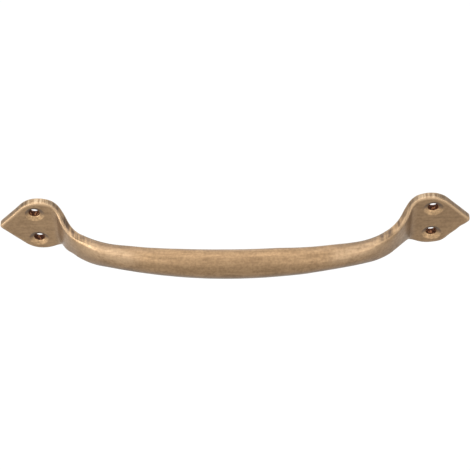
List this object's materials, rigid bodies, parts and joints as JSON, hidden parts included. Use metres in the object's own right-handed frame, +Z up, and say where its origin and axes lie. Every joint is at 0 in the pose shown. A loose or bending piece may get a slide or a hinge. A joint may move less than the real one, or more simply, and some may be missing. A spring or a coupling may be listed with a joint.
{
  "type": "drawer pull",
  "caption": "Cast bronze bow pull for a drawer: flat spade-shaped feet with countersunk screw holes, flaring necks and a rounded grip that swells towards its middle.",
  "frame": {"origin": "centre of the screw-hole pattern, on the plane of the drawer front that the feet's backs lie on", "axes": "+X along the pull, to the right as seen by someone facing the drawer; +Y into the drawer front; +Z up. The grip stands out towards -Y."},
  "size_m": [0.19, 0.0305, 0.0274],
  "materials": {
    "bronze": "satin, hand-finished cast bronze with fine pits and lengthwise brushing"
  },
  "bodies": {
    "root": {"drawer_pull": "bronze"}
  },
  "joints": []
}
